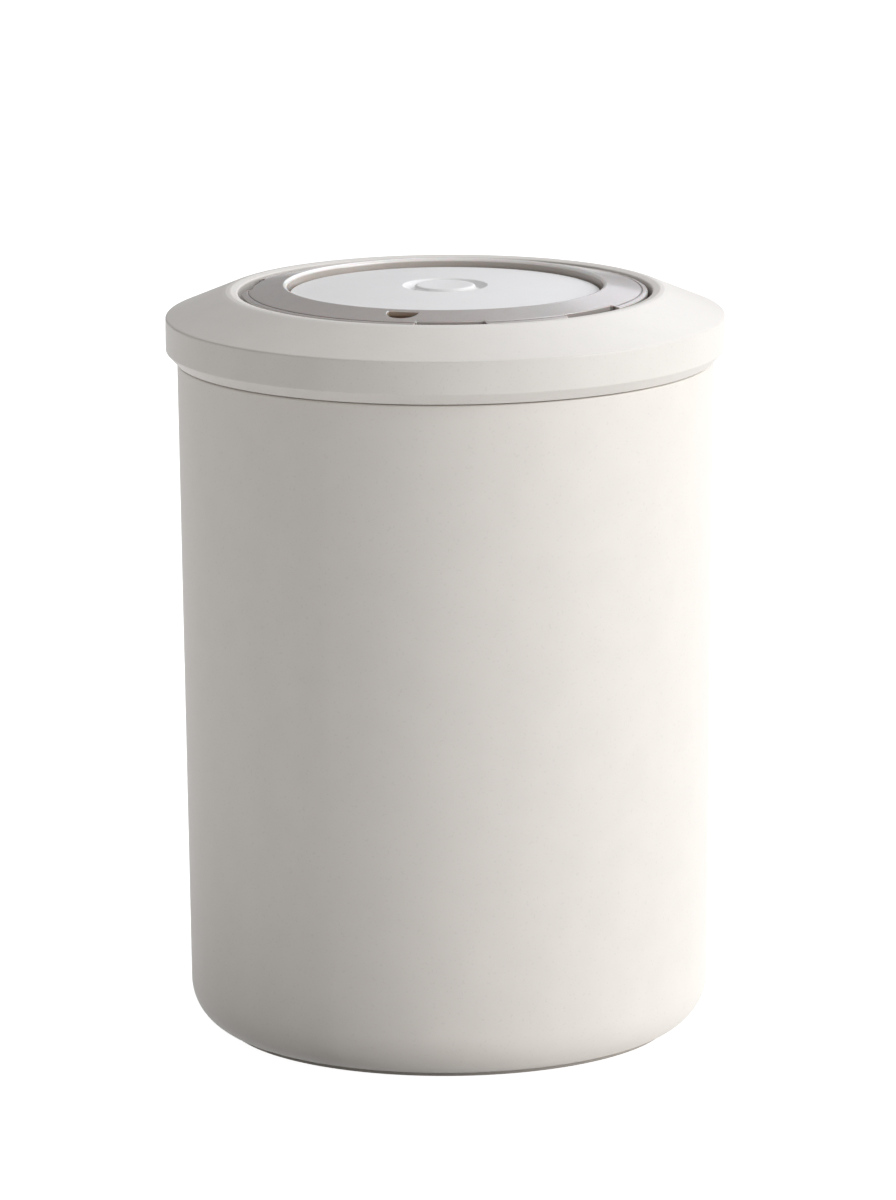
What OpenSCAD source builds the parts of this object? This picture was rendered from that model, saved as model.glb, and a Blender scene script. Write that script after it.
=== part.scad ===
// Coffee canister with a push-fit lid. The lid holds a one-way degassing valve, a press-to-vent
// button and a date ring that turns round a numbered scale. Millimetres throughout.
// The canister stands on z = 0 with its axis on Z, and its front faces -Y.

/* [Body] */
// Diameter of the body at its shoulder, just under the lid
body_top_d = 122.8; // [119:0.1:130]
// Height of the shoulder that the lid comes down to
body_h = 156; // [110:1:220]
// Draft of the moulded body, in degrees: it narrows towards its base
draft = 0.65; // [0:0.05:0.8]
// Radius of the rounded base edge
base_round = 10.8; // [9:0.1:12]
// Wall of the outer shell
shell_wall = 2.2; // [1.8:0.1:2.4]
// Diameter of the round foot pad under the base
foot_d = 103; // [98:0.5:103]
// Sheet thickness of the steel liner
liner_wall = 0.6; // [0.5:0.1:0.8]

/* [Lid] */
// How far the lid stands out past the body, all round
lid_overhang = 2.6; // [2:0.1:4]
// Height of the lid's straight band
band_h = 7.2; // [6.4:0.1:7.6]
// Dark gap between the lid and the body's shoulder
seam_gap = 0.3; // [0.2:0.05:0.4]
// Depth of the lid's plug below the shoulder
plug_depth = 5; // [5:0.5:12]

/* [Date ring] */
// Outer diameter of the date ring
ring_d = 92.6; // [91:0.2:93.4]
// Height of the ring's crest above its outer edge
ring_rise = 1.8; // [1.6:0.1:2]
// Width of the round window that shows the date
window_w = 7.1; // [5:0.1:8]
// How far round from the front the window lies, in degrees
window_turn = -14.2; // [-180:0.1:180]

/* [Button and valve] */
// Diameter of the centre cap
cap_d = 71.2; // [70:0.2:72]
// Rise of the cap's dome from its edge to its centre
cap_dome = 1.75; // [1:0.05:2]
// Diameter of the dished recess round the button
recess_d = 19.4; // [18:0.1:22]
// Diameter of the vent button
button_d = 14; // [12:0.1:14.4]
// How far the button goes down when it is pressed
button_travel = 2; // [1:0.1:2.2]
// Number of vent holes under the degassing disc
vent_count = 6; // [4:1:8]
// Diameter of each vent hole
vent_d = 2.2; // [1.6:0.1:2.4]
// How far the degassing disc can lift
disc_lift = 0.8; // [0.4:0.1:0.8]

/* [Hidden] */
$fn = 128;
eps = 0.01;

// Body: radii, then heights above the ground
body_r = body_top_d / 2;
base_drop = 0.4;
base_mid_z = base_drop + base_round;
base_r = body_r - (body_h - base_mid_z) * tan(draft);
base_mid_r = base_r - base_round;
edge_break = 0.3;
neck_inset = 2;
neck_r = body_r - neck_inset;
neck_h = 5.4;
neck_z = body_h + neck_h;
liner_gap = 0.55;
liner_r = base_r - shell_wall - liner_gap;
liner_in_r = liner_r - liner_wall;
neck_in_r = liner_r + 0.2;
floor_z = 3.4;
inner_round = 7.8;
foot_r = foot_d / 2;
foot_in_r = 43;
foot_seat_z = 0.75;
foot_top_z = 1.7;
liner_z = floor_z + 0.6;
liner_round = 7;
rim_wall = 0.7;
rim_z = neck_z + rim_wall;

// Lid cover: heights are measured up from the shoulder
lid_r = body_r + lid_overhang;
skirt_tip_r = body_r + 0.3;
skirt_in_r = neck_r + 0.35;
chamfer_h = 2.55;
band_z0 = seam_gap + chamfer_h;
band_z1 = band_z0 + band_h;
slope_edge = 0.4;
slope_r = 51;
slope_z = 15.7;
ring_r = ring_d / 2;
well_r = ring_r + 1.1;
lip_r = well_r + 1.9;
lip_z = 16.07;
well_z = 12;
step_r = 37;
step_z = 13.15;
cap_r = cap_d / 2;
hub_r = cap_r - 1.66;
hub_in_r = hub_r - 2.34;
hub_z = 14.2;
hub_floor_z = 9.1;
hub_base_z = 6.9;
cover_wall = 2.2;
valve_hole_r = 14.6;
skirt_wall = 2.5;
clamp_z = 7.6;
screw_pcd = 52;
screw_hole_r = 1.6;
screw_count = 4;

// Lid plug and its gasket
rest_gap = 0.1;
plug_r = liner_in_r - 0.8;
plug_in_r = plug_r - 3.4;
plug_flange_r = neck_r - 0.1;
plug_flange_z = neck_h + rim_wall + rest_gap;
plug_floor = 2;
groove_r = plug_r - 1.8;
groove_z = -1.4;
groove_h = 3.6;
gasket_tip_r = liner_in_r - 0.1;
collar_in_r = 14.08;
collar_r = 16.6;
collar_z = 2;
boss_r = 3.2;
pilot_r = 1.1;
pilot_z = -1;

// Date ring and scale
scale_in_r = step_r + 0.5;
scale_r = well_r - 0.5;
scale_wall = 0.8;
ring_ledge_r = hub_r + 0.06;
ring_bore_r = cap_r + 0.55;
ring_z0 = step_z + 0.1;
ring_ledge_z = ring_z0 + 0.8;
ring_edge_z = 15.6;
ring_crest_z = ring_edge_z + ring_rise;
ring_crest_round = 0.9;
ring_crest_r = ring_bore_r + ring_crest_round;
ring_cone_r = ring_crest_r + 0.2;
ring_cone_z = ring_crest_z - 0.02;
ring_sheet = 1.3;
ring_wall_r = 37.5;
window_flat_r = 38.1;
window_depth = 4.3;
notch_r = 44.1;
// Each finger notch in the ring's edge: where it starts and how far it runs, in degrees
notches = [[-8.6, 20.2], [37, 21], [-112, 21], [130, 42]];

// Centre cap and button
cap_edge_z = 15.4;
cap_top_z = cap_edge_z + cap_dome;
cap_wall = 1.7;
cap_skirt_r = hub_in_r - 0.1;
cap_skirt_wall = 1.3;
cap_skirt_z = 12.2;
recess_r = recess_d / 2;
recess_floor_r = recess_r - 1.6;
recess_z = 15.8;
button_r = button_d / 2;
guide_bore_r = button_r + 0.08;
guide_r = recess_floor_r + 1.1;
guide_z = 11.5;
button_z0 = 11.9;
button_wall = 1.2;
button_web_z = 15.4;
button_edge = 0.55;
button_boss_r = 2.7;
button_boss_z = 13;
stem_r = 1.8;
stem_z0 = -1.4;
stem_head_r = 4.8;
stem_head_h = 0.8;

// Valve, from its seat plate up and down
housing_r = 14;
housing_in_r = 12.4;
housing_z0 = -5.2;
housing_z1 = 6.4;
housing_flange_r = 16;
housing_flange_h = 1.4;
housing_ledge_r = 11.4;
seat_z = 1;
seat_wall = 2;
seat_hole_r = 3.2;
vent_pcd = 14;
poppet_r = 5.4;
poppet_gap = 0.05;
disc_in_r = 4.6;
disc_r = 9.5;
disc_wall = 0.8;
disc_z = seat_z + seat_wall + 0.05;
keeper_z = disc_z + disc_wall + disc_lift + 0.15;
keeper_wall = 1.4;
keeper_tube_r = 4.2;
keeper_chamber_r = 3.3;
keeper_top_z = keeper_z + 3.4;
keeper_hole_r = 1.5;
keeper_hole_pcd = 17;
mesh_z = -4.4;
mesh_wall = 0.3;
mesh_hole_r = 0.45;
mesh_pitch = 1.7;
mesh_r = 12.3;
retainer_in_r = 10.6;
oring_wire_r = 0.5;
oring_r = 15.2;

// Button spring
spring_wire_r = 0.35;
spring_r = 3.4;
spring_turns = 5;
spring_sides = 8;
spring_steps = 20;

// Revolves a closed outline of [radius, height] points
module turned(points) {
  rotate_extrude() polygon(points);
}

// Plain ring between two radii and two heights
module ring(r_in, r_out, z0, z1) {
  turned([[r_in, z0], [r_out, z0], [r_out, z1], [r_in, z1]]);
}

// Copies its children round the axis
module around(count, r, first = 0) {
  for (i = [0 : count - 1])
    rotate([0, 0, first + i * 360 / count]) translate([r, 0, 0]) children();
}

// Height of the cap's spherical dome at a radius
function dome_z(r) = cap_top_z - cap_dome * pow(r / cap_r, 2);

// Height of the lid's slope at a radius
slope_fall = (slope_z - band_z1 - slope_edge) / (lid_r - slope_edge - slope_r);
function slope_at(r) = slope_z - (r - slope_r) * slope_fall;

// Moulded outer shell: drafted wall, rounded base, stepped-in neck
module outer_shell() color([0.93, 0.92, 0.9]) rotate_extrude() difference() {
  union() {
    polygon([[0, base_drop], [base_mid_r, base_drop], [base_r, base_mid_z],
      [body_r, body_h - edge_break], [body_r - edge_break, body_h], [neck_r, body_h],
      [neck_r, neck_z - edge_break], [neck_r - edge_break, neck_z], [0, neck_z]]);
    translate([base_mid_r, base_mid_z]) circle(r = base_round);
  }
  shell_hollow();
  square([body_r, foot_seat_z]);
  translate([foot_in_r, 0]) square([foot_r - foot_in_r, foot_top_z]);
  translate([-body_r, -body_h]) square([body_r, 3 * body_h]);
}

// Hollow of the shell: one wall thickness in from the outside, closing in at the neck
module shell_hollow() {
  wall_r = base_r - shell_wall;
  neck_z0 = body_h - 9;
  polygon([[0, floor_z], [wall_r - inner_round, floor_z], [wall_r, floor_z + inner_round],
    [body_r - shell_wall, neck_z0], [neck_in_r, body_h - 4], [neck_in_r, neck_z + 1],
    [0, neck_z + 1]]);
  translate([wall_r - inner_round, floor_z + inner_round]) circle(r = inner_round);
}

// Outline of a deep-drawn cup, from its outer radius and its underside
module cup(r, z, corner) {
  translate([0, z + corner]) square([r, neck_z - z - corner]);
  translate([0, z]) square([r - corner, corner + eps]);
  translate([r - corner, z + corner]) circle(r = corner);
}

// Steel liner: a thin cup that hangs in the neck by its rim
module steel_liner() color([0.78, 0.79, 0.8]) rotate_extrude() difference() {
  union() {
    cup(liner_r, liner_z, liner_round);
    translate([0, neck_z]) square([plug_flange_r, rim_wall]);
  }
  cup(liner_in_r, liner_z + liner_wall, liner_round - liner_wall);
  translate([0, neck_z - 1]) square([liner_in_r, 3]);
  translate([-body_r, 0]) square([body_r, 2 * body_h]);
}

// Soft foot pad let into the underside
module foot_pad() color([0.28, 0.28, 0.29]) difference() {
  ring(foot_in_r, foot_r, 0, foot_top_z);
  ring(foot_in_r + 3, foot_r - 3, -1, 0.4);
}

// Lid cover: skirt, band, slope, rolled lip, well for the ring and hub for the cap
module lid_cover() color([0.93, 0.92, 0.9]) translate([0, 0, body_h]) difference() {
  turned(concat(cover_top(), cover_underside()));
  around(screw_count, screw_pcd / 2, 45)
    translate([0, 0, hub_base_z - 1]) cylinder(r = screw_hole_r, h = 4);
  around(4, hub_r, 0) translate([-3, -1.5, hub_z - 0.9]) cube([6, 3, 2]);
}

// The cover's outside, from the skirt's tip over the lip and down into the hub
function cover_top() = [
  [skirt_in_r, seam_gap], [skirt_tip_r, seam_gap], [lid_r, band_z0], [lid_r, band_z1],
  [lid_r - slope_edge, band_z1 + slope_edge], [slope_r, slope_z], [lip_r + 0.9, lip_z - 0.1],
  [lip_r, lip_z], [well_r + 0.7, lip_z - 0.15], [well_r + 0.2, lip_z - 0.35],
  [well_r, lip_z - 0.6], [well_r, well_z], [step_r, well_z], [step_r, step_z], [hub_r, step_z],
  [hub_r, hub_z], [hub_in_r, hub_z], [hub_in_r, hub_floor_z], [valve_hole_r, hub_floor_z],
  [valve_hole_r, hub_base_z]
];

// The cover's inside, from the hub out to the skirt, with the rib that clamps the plug
function cover_underside() = [
  [hub_r, hub_base_z], [hub_r, well_z - cover_wall], [well_r + cover_wall, well_z - cover_wall],
  [well_r + cover_wall, slope_at(well_r + cover_wall) - cover_wall - 1.2],
  [plug_flange_r - 2.7, slope_at(plug_flange_r - 2.7) - cover_wall],
  [plug_flange_r - 2.7, clamp_z], [plug_flange_r - 0.7, clamp_z],
  [plug_flange_r - 0.7, slope_at(plug_flange_r - 0.7) - cover_wall],
  [lid_r - skirt_wall, slope_at(lid_r - skirt_wall) - cover_wall],
  [lid_r - skirt_wall, neck_h - 1], [skirt_in_r, band_z0]
];

// Lid plug: the bowl that goes down into the liner and carries the gasket and the valve
module lid_plug() color([0.9, 0.9, 0.88]) translate([0, 0, body_h]) difference() {
  union() {
    ring(plug_in_r, plug_flange_r, plug_flange_z, clamp_z);
    turned([[collar_in_r, -plug_depth], [plug_r - 1.2, -plug_depth], [plug_r, 1.2 - plug_depth],
      [plug_r, groove_z], [groove_r, groove_z], [groove_r, groove_z + groove_h],
      [plug_r, groove_z + groove_h], [plug_r, clamp_z], [plug_in_r, clamp_z],
      [plug_in_r, plug_floor - plug_depth], [collar_in_r, plug_floor - plug_depth]]);
    ring(collar_in_r, collar_r, -plug_depth, collar_z);
    around(screw_count, screw_pcd / 2, 45)
      translate([0, 0, -plug_depth]) cylinder(r = boss_r, h = hub_base_z + plug_depth);
  }
  ring(oring_r - 0.6, oring_r + 0.6, collar_z - 1.1, collar_z + 1);
  around(screw_count, screw_pcd / 2, 45)
    translate([0, 0, pilot_z]) cylinder(r = pilot_r, h = hub_base_z - pilot_z + 1);
}

// Gasket in the plug's groove, with two lips that wipe the liner
module lid_gasket() color([0.86, 0.86, 0.85]) translate([0, 0, body_h + groove_z]) {
  back_r = groove_r + 0.05;
  web_r = plug_r - 0.2;
  turned([[back_r, 0.1], [web_r, 0.1], [web_r, 0.5], [gasket_tip_r, 0.9], [web_r, 1.5],
    [web_r, 2.1], [gasket_tip_r, 2.5], [web_r, 3.1], [web_r, groove_h - 0.1],
    [back_r, groove_h - 0.1]]);
}

// Screws that clamp the cover to the plug's bosses
module lid_screws() color([0.6, 0.6, 0.62]) translate([0, 0, body_h])
  around(screw_count, screw_pcd / 2, 45) difference() {
    union() {
      translate([0, 0, hub_floor_z]) cylinder(r = 2.6, h = 1.8);
      translate([0, 0, 0.5]) cylinder(r = pilot_r - 0.02, h = hub_floor_z);
    }
    for (a = [0, 90]) rotate([0, 0, a])
      translate([-1.5, -0.3, hub_floor_z + 0.9]) cube([3, 0.6, 2]);
  }

// Numbered scale that lies in the well under the date ring
module scale_ring() color([0.45, 0.41, 0.38]) translate([0, 0, body_h])
  ring(scale_in_r, scale_r, well_z, well_z + scale_wall);

// Height of the ring's coned top at a radius
function ring_top(r) = ring_edge_z
  + (ring_r - r) * (ring_cone_z - ring_edge_z) / (ring_r - ring_cone_r);

// Date ring: a coned sheet with a rolled crest, a window for the date and finger notches
module date_ring() color([0.6, 0.58, 0.57]) translate([0, 0, body_h]) difference() {
  crest = [for (a = [90 : 30 : 180]) [ring_crest_r + ring_crest_round * cos(a),
    ring_crest_z - ring_crest_round + ring_crest_round * sin(a)]];
  turned(concat([[ring_ledge_r, ring_z0], [ring_wall_r - 0.2, ring_z0],
    [ring_wall_r, ring_z0 + 0.2], [ring_wall_r, ring_top(ring_wall_r) - ring_sheet],
    [ring_r - 0.2, ring_edge_z - ring_sheet], [ring_r, ring_edge_z - ring_sheet + 0.2],
    [ring_r, ring_edge_z - 0.2], [ring_r - 0.2, ring_edge_z + 0.03],
    [ring_cone_r, ring_cone_z]], crest, [[ring_bore_r, ring_ledge_z],
    [ring_ledge_r, ring_ledge_z]]));
  rotate([0, 0, window_turn]) date_window();
  for (n = notches) rotate([0, 0, n[0] - 90]) rotate_extrude(angle = n[1])
    translate([notch_r, ring_z0]) square([5, 6]);
}

// Window with a flat inner side and a round outer side, cut straight down
module date_window() translate([0, -window_flat_r, ring_z0]) linear_extrude(6) {
  half = window_w / 2;
  straight = window_depth - half;
  intersection() {
    translate([0, -straight]) circle(r = half);
    translate([-half, -window_depth]) square([window_w, window_depth]);
  }
  translate([-half, -straight]) square([window_w, straight]);
}

// Centre cap: a shallow dome with a dished recess and the tube that guides the button
module centre_cap() color([0.94, 0.94, 0.94]) translate([0, 0, body_h]) {
  steps = 8;
  dome_top = [for (i = [0 : steps]) let (r = recess_r + (cap_r - 0.3 - recess_r) * i / steps)
    [r, dome_z(r)]];
  skirt_inner = cap_skirt_r - cap_skirt_wall;
  dome_under = [for (i = [0 : steps]) let (r = skirt_inner - (skirt_inner - guide_r) * i / steps)
    [r, dome_z(r) - cap_wall]];
  turned(concat([[guide_bore_r, guide_z], [guide_bore_r, recess_z], [recess_floor_r, recess_z]],
    dome_top, [[cap_r, cap_edge_z - 0.3], [cap_r, hub_z], [cap_skirt_r, hub_z],
    [cap_skirt_r, cap_skirt_z], [skirt_inner, cap_skirt_z]], dome_under, [[guide_r, guide_z]]));
}

// Vent button: a round cap with a boss that grips the stem
module vent_button() color([0.95, 0.95, 0.95]) translate([0, 0, body_h])
  turned([[0, button_web_z], [0, cap_top_z], [button_r - button_edge, cap_top_z],
    [button_r, cap_top_z - button_edge], [button_r, button_z0],
    [button_r - button_wall, button_z0], [button_r - button_wall, button_web_z],
    [button_boss_r, button_web_z], [button_boss_r, button_boss_z], [stem_r, button_boss_z],
    [stem_r, button_web_z]]);

// Stem from the button down through the valve seat, with the head that carries the seal
module button_stem() color([0.82, 0.83, 0.84]) translate([0, 0, body_h + stem_z0]) {
  cylinder(r = stem_r, h = button_web_z - stem_z0);
  cylinder(r = stem_head_r, h = stem_head_h);
}

// Soft washer on the stem's head that closes the seat from below
module poppet_seal() color([0.8, 0.8, 0.8]) translate([0, 0, body_h]) {
  z0 = stem_z0 + stem_head_h;
  turned([[stem_r, z0], [poppet_r - 0.4, z0], [poppet_r, z0 + 0.5],
    [poppet_r - 0.5, seat_z - poppet_gap], [stem_r, seat_z - poppet_gap]]);
}

// Points of one ring of the spring's wire at an angle round the axis
function wire_ring(angle, z) = [for (k = [0 : spring_sides - 1])
  let (a = k * 360 / spring_sides, r = spring_r + spring_wire_r * cos(a))
  [r * cos(angle), r * sin(angle), z + spring_wire_r * sin(a)]];

// Compression spring between the disc keeper and the button
module button_spring() color([0.7, 0.7, 0.72]) translate([0, 0, body_h]) {
  z0 = keeper_top_z + spring_wire_r + 0.05;
  rise = button_web_z - keeper_top_z - 2 * spring_wire_r - 0.1;
  last = spring_turns * spring_steps;
  points = [for (i = [0 : last]) each wire_ring(i * 360 / spring_steps, z0 + rise * i / last)];
  sides = [for (i = [0 : last - 1], k = [0 : spring_sides - 1])
    let (a = i * spring_sides + k, b = i * spring_sides + (k + 1) % spring_sides)
    [a, b, b + spring_sides, a + spring_sides]];
  first_end = [for (k = [0 : spring_sides - 1]) spring_sides - 1 - k];
  last_end = [for (k = [0 : spring_sides - 1]) last * spring_sides + k];
  polyhedron(points, concat([first_end], sides, [last_end]));
}

// Valve housing: a tube through the plug with a seat plate and a ring of vent holes
module valve_housing() color([0.88, 0.88, 0.86]) translate([0, 0, body_h]) difference() {
  union() {
    ring(housing_in_r, housing_r, housing_z0, housing_z1);
    ring(housing_in_r, housing_flange_r, collar_z, collar_z + housing_flange_h);
    ring(housing_ledge_r, housing_in_r + eps, seat_z, keeper_z);
    ring(housing_ledge_r, housing_in_r + eps, mesh_z + mesh_wall, mesh_z + mesh_wall + 0.6);
    ring(seat_hole_r, housing_in_r + eps, seat_z, seat_z + seat_wall);
  }
  around(vent_count, vent_pcd / 2) translate([0, 0, seat_z - 1])
    cylinder(d = vent_d, h = seat_wall + 2);
}

// O-ring that seals the housing's flange on the plug's collar
module housing_o_ring() color([0.3, 0.3, 0.31])
  translate([0, 0, body_h + collar_z - oring_wire_r - 0.02])
    rotate_extrude() translate([oring_r, 0]) circle(r = oring_wire_r, $fn = 32);

// Soft disc that lies on the vent holes and lifts to let gas out
module degassing_disc() color([0.85, 0.55, 0.4]) translate([0, 0, body_h])
  ring(disc_in_r, disc_r, disc_z, disc_z + disc_wall);

// Keeper that limits the disc's lift and guides the stem
module disc_keeper() color([0.8, 0.8, 0.78]) translate([0, 0, body_h]) difference() {
  union() {
    ring(stem_r + 0.08, housing_in_r - 0.05, keeper_z, keeper_z + keeper_wall);
    ring(stem_r + 0.08, keeper_tube_r, keeper_z, keeper_top_z);
    ring(keeper_chamber_r, keeper_tube_r, seat_z + seat_wall, keeper_z + eps);
  }
  around(6, keeper_hole_pcd / 2, 30) translate([0, 0, keeper_z - 1])
    cylinder(r = keeper_hole_r, h = keeper_wall + 2);
  for (a = [0, 90]) rotate([0, 0, a])
    translate([-5, -1, keeper_z - 0.7]) cube([10, 2, 0.7]);
}

// Perforated filter under the valve
module filter_mesh() color([0.65, 0.66, 0.68]) translate([0, 0, body_h + mesh_z]) difference() {
  cylinder(r = mesh_r, h = mesh_wall);
  row_h = mesh_pitch * sin(60);
  rows = floor(retainer_in_r / row_h);
  for (j = [-rows : rows], i = [-rows : rows]) {
    x = (i + (abs(j) % 2) / 2) * mesh_pitch;
    y = j * row_h;
    if (norm([x, y]) < retainer_in_r - mesh_pitch / 2)
      translate([x, y, -1]) cylinder(r = mesh_hole_r, h = 2);
  }
}

// Ring that holds the filter up in the housing
module filter_retainer() color([0.88, 0.88, 0.86]) translate([0, 0, body_h])
  ring(retainer_in_r, housing_in_r - 0.05, housing_z0, mesh_z);

outer_shell();
steel_liner();
foot_pad();
lid_cover();
lid_plug();
lid_gasket();
lid_screws();
scale_ring();
date_ring();
centre_cap();
vent_button();
button_stem();
poppet_seal();
button_spring();
valve_housing();
housing_o_ring();
degassing_disc();
disc_keeper();
filter_mesh();
filter_retainer();
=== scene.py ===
"""The looks of a coffee canister with a vented lid, laid out as a Blender add-on.

The round pieces are surfaces of revolution worked out with numpy from profiles of rounded corners,
the date ring adds its notches and window to one, and the spring is a wire carried up a helix. All
are in the row's own frame: metres, +Z up, the canister's axis on Z and its front facing -Y.
"""

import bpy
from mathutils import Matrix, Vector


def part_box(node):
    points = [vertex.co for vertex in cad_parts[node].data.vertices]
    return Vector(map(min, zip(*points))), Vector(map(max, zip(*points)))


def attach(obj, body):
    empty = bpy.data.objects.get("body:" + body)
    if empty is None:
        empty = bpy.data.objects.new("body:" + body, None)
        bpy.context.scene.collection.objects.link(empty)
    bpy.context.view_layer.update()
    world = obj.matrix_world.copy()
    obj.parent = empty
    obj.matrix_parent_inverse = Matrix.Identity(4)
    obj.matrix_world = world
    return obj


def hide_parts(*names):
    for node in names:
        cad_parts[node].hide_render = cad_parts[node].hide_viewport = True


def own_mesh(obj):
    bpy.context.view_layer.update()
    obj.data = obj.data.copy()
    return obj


bl_info = {
    "name": "Coffee canister",
    "version": (1, 0, 0),
    "blender": (4, 5, 0),
    "location": "View3D > Sidebar > Canister",
    "description": "Builds the canister's body, vented lid and date ring, and their finishes",
    "category": "Object",
}

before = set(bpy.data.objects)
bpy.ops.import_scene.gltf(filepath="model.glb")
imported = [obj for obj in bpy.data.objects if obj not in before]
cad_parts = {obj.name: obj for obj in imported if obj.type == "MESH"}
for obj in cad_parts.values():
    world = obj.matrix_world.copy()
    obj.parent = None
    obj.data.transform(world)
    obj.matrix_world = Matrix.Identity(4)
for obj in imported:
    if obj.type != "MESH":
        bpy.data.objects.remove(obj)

import math

import bpy
import numpy as np
from mathutils import Matrix

MM = 0.001
TURN = 2 * math.pi
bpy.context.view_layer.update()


def low(node, axis=2):
    """Lowest coordinate of a CAD node along an axis, in millimetres."""
    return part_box(node)[0][axis] / MM


def high(node, axis=2):
    """Highest coordinate of a CAD node along an axis, in millimetres."""
    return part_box(node)[1][axis] / MM


# Profiles: lists of [radius, height] corners in millimetres


def arc(centre, radius, start, stop, count):
    """Points on a circle between two angles in degrees: centre + radius * (cos a, sin a)."""
    a = np.radians(np.linspace(start, stop, count))
    return np.stack([centre[0] + radius * np.cos(a), centre[1] + radius * np.sin(a)], axis=1)


def round_corner(before, corner, after, radius):
    """Replaces a corner by an arc that touches both sides, with one support point on each side.

    The arc's centre lies on the corner's bisector, radius / sin(half angle) from the corner, and it
    touches the sides radius / tan(half angle) from the corner.
    """
    u, v = before - corner, after - corner
    len_u, len_v = np.linalg.norm(u), np.linalg.norm(v)
    u, v = u / len_u, v / len_v
    half = math.acos(float(np.clip(u @ v, -1, 1))) / 2
    if radius <= 0 or half > math.radians(89.5):
        return corner[None, :]
    reach = min(radius / math.tan(half), 0.45 * len_u, 0.45 * len_v)
    radius = reach * math.tan(half)
    bisector = (u + v) / np.linalg.norm(u + v)
    centre = corner + bisector * radius / math.sin(half)
    first, last = corner + u * reach - centre, corner + v * reach - centre
    sweep = math.pi - 2 * half
    count = max(3, math.ceil(math.degrees(sweep) / 11) + 1)
    t = np.linspace(0, 1, count)[:, None]
    turned = (np.sin((1 - t) * sweep) * first + np.sin(t * sweep) * last) / math.sin(sweep)
    support = min(0.5 * reach + 0.05, 0.2 * len_u, 0.2 * len_v)
    ends = corner + u * (reach + support), corner + v * (reach + support)
    return np.vstack([ends[0], centre + turned, ends[1]])


def rounded(corners, closed=False):
    """Outline through [radius, height, corner radius] rows, with each corner rounded."""
    rows = np.array(corners, float)
    points, radii = rows[:, :2], rows[:, 2]
    count = len(points)
    pieces = []
    for i in range(count):
        if not closed and i in (0, count - 1):
            pieces.append(points[i][None, :])
        else:
            around = points[i - 1], points[i], points[(i + 1) % count]
            pieces.append(round_corner(*around, radii[i]))
    return np.vstack(pieces)


# Surfaces and meshes


def grid_quads(rows, columns, wrap_rows=False, wrap_columns=True):
    """Corner indices of the quads of a grid whose vertices are numbered row by row."""
    i = np.arange(rows if wrap_rows else rows - 1)[:, None]
    j = np.arange(columns if wrap_columns else columns - 1)[None, :]
    i2, j2 = (i + 1) % rows, (j + 1) % columns
    corners = [i * columns + j, i * columns + j2, i2 * columns + j2, i2 * columns + j]
    return np.stack(corners, axis=-1).reshape(-1, 4)


def signed_volume(points, faces):
    """Volume inside the faces by the divergence theorem: a sixth of the sum of a . (b x c)."""
    total = 0.0
    for k in range(1, faces.shape[1] - 1):
        a, b, c = points[faces[:, 0]], points[faces[:, k]], points[faces[:, k + 1]]
        total += np.einsum("ij,ij->", a, np.cross(b, c)) / 6
    return total


def end_fans(columns, last, count):
    """Triangles from a grid's first row to vertex count, and from its row at last to count + 1."""
    j = np.arange(columns)
    j2 = (j + 1) % columns
    return np.vstack([
        np.stack([j2, j, np.full(columns, count)], axis=1),
        np.stack([last + j, last + j2, np.full(columns, count + 1)], axis=1),
    ])


def mesh_from(name, points, quads, fans=None):
    """Mesh of quads and triangle fans, with its faces turned outwards and shaded smooth."""
    groups = [quads] if fans is None else [quads, fans]
    if sum(signed_volume(points, g) for g in groups) < 0:
        groups = [g[:, ::-1] for g in groups]
    sizes = np.concatenate([np.full(len(g), g.shape[1]) for g in groups])
    corners = np.concatenate([g.ravel() for g in groups])
    mesh = bpy.data.meshes.new(name)
    mesh.vertices.add(len(points))
    mesh.vertices.foreach_set("co", (points * MM).astype(np.float32).ravel())
    mesh.loops.add(len(corners))
    mesh.loops.foreach_set("vertex_index", corners.astype(np.int32))
    mesh.polygons.add(len(sizes))
    starts = np.concatenate([[0], np.cumsum(sizes)[:-1]])
    mesh.polygons.foreach_set("loop_start", starts.astype(np.int32))
    mesh.polygons.foreach_set("use_smooth", np.ones(len(sizes), bool))
    mesh.update(calc_edges=True)
    if mesh.validate():
        raise RuntimeError(f"{name} has faulty faces")
    return mesh


def spin(outline, angles):
    """Revolves an outline: (r sin a, -r cos a, z) over the outline's points and the angles."""
    r, z = outline[:, 0][:, None], outline[:, 1][:, None]
    a = angles[None, :]
    return np.stack([r * np.sin(a), -r * np.cos(a), z + 0 * a], axis=-1)


def turned_mesh(name, outline, segments, closed=False):
    """Surface of revolution of an outline. An open outline starts and ends on the axis."""
    angles = np.arange(segments) * TURN / segments
    if closed:
        points = spin(outline, angles).reshape(-1, 3)
        return mesh_from(name, points, grid_quads(len(outline), segments, wrap_rows=True))
    body = outline[1:-1]
    points = spin(body, angles).reshape(-1, 3)
    poles = np.array([[0, 0, outline[0, 1]], [0, 0, outline[-1, 1]]])
    fans = end_fans(segments, len(points) - segments, len(points))
    return mesh_from(name, np.vstack([points, poles]), grid_quads(len(body), segments), fans)


def place(name, mesh, material, body, slot, *nodes):
    """Makes a mesh a piece of the object: finished, riding on a body, standing for CAD nodes."""
    piece = bpy.data.objects.new(name, mesh)
    bpy.context.scene.collection.objects.link(piece)
    piece.data.materials.append(material)
    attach(piece, body)
    if nodes:
        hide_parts(*nodes)
    return piece


def dress(node, material):
    """Gives a CAD node a material in place of its own."""
    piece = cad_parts[node]
    piece.data.materials.clear()
    piece.data.materials.append(material)


# Materials


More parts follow.
